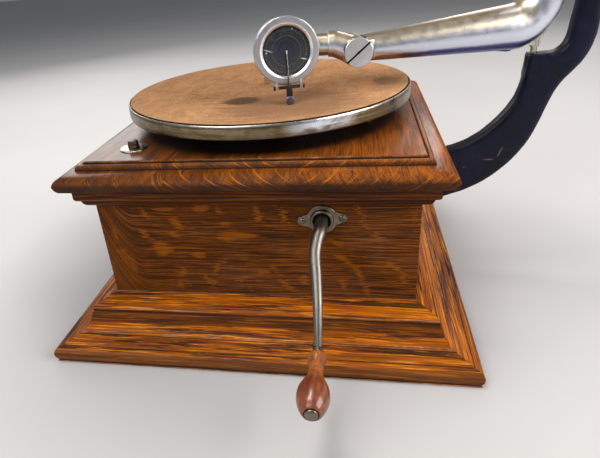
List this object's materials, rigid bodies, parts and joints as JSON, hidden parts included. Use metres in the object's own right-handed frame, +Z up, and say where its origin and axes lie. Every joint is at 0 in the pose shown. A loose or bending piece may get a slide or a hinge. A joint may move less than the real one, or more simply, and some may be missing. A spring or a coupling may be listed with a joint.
{
  "type": "gramophone",
  "caption": "Spring-driven table gramophone in a stepped oak case, with a tapered tone arm, soundbox, side crank and a flared petal horn on a rear bracket.",
  "frame": {"origin": "centre of the case's flat underside, on the turntable's axis", "axes": "+Z up along the turntable spindle, +X towards the crank side, -Y towards the front (the side the horn points to), +Y towards the rear bracket"},
  "size_m": [0.5847, 0.6894, 0.9182],
  "materials": {
    "oak": "satin shellac over dark-stained quarter-sawn oak",
    "oak_inner": "unfinished oak",
    "handle_wood": "dark red-brown polished hardwood",
    "nickel": "worn polished nickel plate",
    "nickel_dull": "tarnished nickel plate",
    "steel": "bright turned steel",
    "dark_steel": "dark oiled steel",
    "brass": "dull brass",
    "black_iron": "black japanned iron, worn",
    "grey_iron": "machined cast iron",
    "horn_brass": "aged lacquered sheet brass",
    "felt": "worn brown felt",
    "mica": "dark sheet mica",
    "rubber": "soft black rubber",
    "leather": "brown leather"
  },
  "bodies": {
    "case": {"plinth_boards": "oak", "base_moulding": "oak", "bottom_board": "oak_inner", "case_crank_panel": "oak", "case_plain_panels": "oak", "corner_blocks": "oak_inner", "bed_moulding": "oak", "lid_planks": "oak", "crank_escutcheon": "nickel_dull", "round_head_screws": "nickel_dull", "control_plate": "nickel_dull", "bracket_casting": "black_iron", "bracket_screws": "dark_steel", "brake_plate": "nickel_dull", "motor_bedplate": "grey_iron", "motor_lower_plate": "grey_iron", "motor_pillars": "steel", "motor_bolts": "dark_steel", "motor_grommets": "rubber"},
    "turntable": {"turntable_platter": "nickel_dull", "felt_mat": "felt", "spindle": "steel", "spindle_gears": "brass"},
    "intermediate": {"intermediate_arbor": "brass"},
    "barrel": {"spring_barrel": "grey_iron", "barrel_cover": "brass", "mainspring": "dark_steel"},
    "winding_arbor": {"winding_arbor": "steel", "winding_bevel_wheel": "steel"},
    "pawl": {"ratchet_pawl": "dark_steel"},
    "governor": {"governor_shaft": "steel", "governor_weights": "brass", "governor_springs": "dark_steel", "friction_disc": "brass"},
    "speed_lever": {"speed_lever": "dark_steel"},
    "crank": {"crank_arm": "nickel", "winding_shaft": "steel"},
    "handle": {"crank_handle": "handle_wood", "handle_ferrule": "nickel"},
    "speed_knob": {"speed_knob": "nickel"},
    "brake": {"brake_lever": "nickel_dull", "brake_pad": "leather"},
    "tone_arm": {"tone_arm_tube": "nickel", "arm_pivot_pin": "nickel", "elbow_cap_screw": "nickel"},
    "elbow": {"elbow_casting": "nickel", "gooseneck_tube": "nickel"},
    "soundbox": {"soundbox_shell": "nickel", "soundbox_rubbers": "rubber", "diaphragm": "mica", "soundbox_face_ring": "nickel", "stylus_pivot_screws": "steel"},
    "stylus": {"stylus_bar": "dark_steel"},
    "needle_screw": {"needle_screw": "dark_steel"},
    "horn": {"horn_elbow": "horn_brass", "horn_neck": "horn_brass", "horn_petals": "horn_brass", "horn_seam_ribs": "horn_brass"},
    "clamp": {"horn_clamp_screw": "nickel"}
  },
  "joints": [
    {"name": "turntable_spin", "type": "hinge", "parent": "case", "child": "turntable", "pos_m": [0, 0, 0.2], "axis": [0, 0, 1], "continuous": true},
    {"name": "tonearm_swing", "type": "hinge", "parent": "case", "child": "tone_arm", "pos_m": [0, 0.2675, 0.26], "axis": [0, 0, 1], "range_deg": [-14, 24]},
    {"name": "elbow_tilt", "type": "hinge", "parent": "tone_arm", "child": "elbow", "pos_m": [0.04972, 0.09409, 0.2708], "axis": [-0.9613, -0.2756, 0], "range_deg": [0, 52]},
    {"name": "crank_turn", "type": "hinge", "parent": "case", "child": "crank", "pos_m": [0.15, 0.067, 0.1404], "axis": [1, 0, 0], "continuous": true},
    {"name": "handle_spin", "type": "hinge", "parent": "crank", "child": "handle", "pos_m": [0.27, 0.067, 0.0644], "axis": [1, 0, 0], "continuous": true},
    {"name": "horn_swivel", "type": "hinge", "parent": "case", "child": "horn", "pos_m": [0, 0.2675, 0.37], "axis": [0, 0, 1], "range_deg": [-25, 25]},
    {"name": "soundbox_turn", "type": "hinge", "parent": "elbow", "child": "soundbox", "pos_m": [0.07964, 0.03328, 0.2787], "axis": [0.9613, 0.2756, 0], "range_deg": [-15, 15]},
    {"name": "speed_knob_turn", "type": "hinge", "parent": "case", "child": "speed_knob", "pos_m": [0.114, -0.1176, 0.205], "axis": [0, 0, 1], "range_deg": [-60, 60]},
    {"name": "brake_swing", "type": "hinge", "parent": "case", "child": "brake", "pos_m": [-0.127, -0.124, 0.206], "axis": [0, 0, 1], "range_deg": [-1.2, 12]},
    {"name": "stylus_rock", "type": "hinge", "parent": "soundbox", "child": "stylus", "pos_m": [0.08753, 0.03554, 0.2474], "axis": [0.2756, -0.9613, 0], "range_deg": [-0.8, 0.8], "stiffness_Nm_per_rad": 0.6},
    {"name": "needle_screw_turn", "type": "hinge", "parent": "stylus", "child": "needle_screw", "pos_m": [0.09225, 0.03648, 0.23605], "axis": [0.9613, 0.2756, 0], "continuous": true},
    {"name": "horn_clamp_turn", "type": "hinge", "parent": "case", "child": "clamp", "pos_m": [0.045, 0.2675, 0.364], "axis": [1, 0, 0], "continuous": true},
    {"name": "intermediate_spin", "type": "hinge", "parent": "case", "child": "intermediate", "pos_m": [-0.02056, 0.03136, 0.09], "axis": [0, 0, 1], "continuous": true},
    {"name": "barrel_spin", "type": "hinge", "parent": "case", "child": "barrel", "pos_m": [0.02, 0.067, 0.06], "axis": [0, 0, 1], "continuous": true},
    {"name": "governor_spin", "type": "hinge", "parent": "case", "child": "governor", "pos_m": [0.02617, -0.02686, 0.09], "axis": [0, 0, 1], "continuous": true},
    {"name": "winding_arbor_turn", "type": "hinge", "parent": "case", "child": "winding_arbor", "pos_m": [0.02, 0.067, 0.12], "axis": [0, 0, 1], "continuous": true},
    {"name": "speed_lever_rock", "type": "hinge", "parent": "case", "child": "speed_lever", "pos_m": [0.07485, -0.07716, 0.145], "axis": [-0.7185, -0.6955, 0], "range_deg": [-1, 1]},
    {"name": "pawl_swing", "type": "hinge", "parent": "case", "child": "pawl", "pos_m": [-0.00208, 0.09476, 0.115], "axis": [0, 0, 1], "range_deg": [-12, 0]}
  ],
  "couplings": [
    {"joint": "intermediate_spin", "follows": "turntable_spin", "ratio": -0.25},
    {"joint": "barrel_spin", "follows": "turntable_spin", "ratio": 0.05},
    {"joint": "governor_spin", "follows": "turntable_spin", "ratio": -4},
    {"joint": "winding_arbor_turn", "follows": "crank_turn", "ratio": 0.5},
    {"joint": "speed_lever_rock", "follows": "speed_knob_turn", "ratio": 0.014}
  ]
}
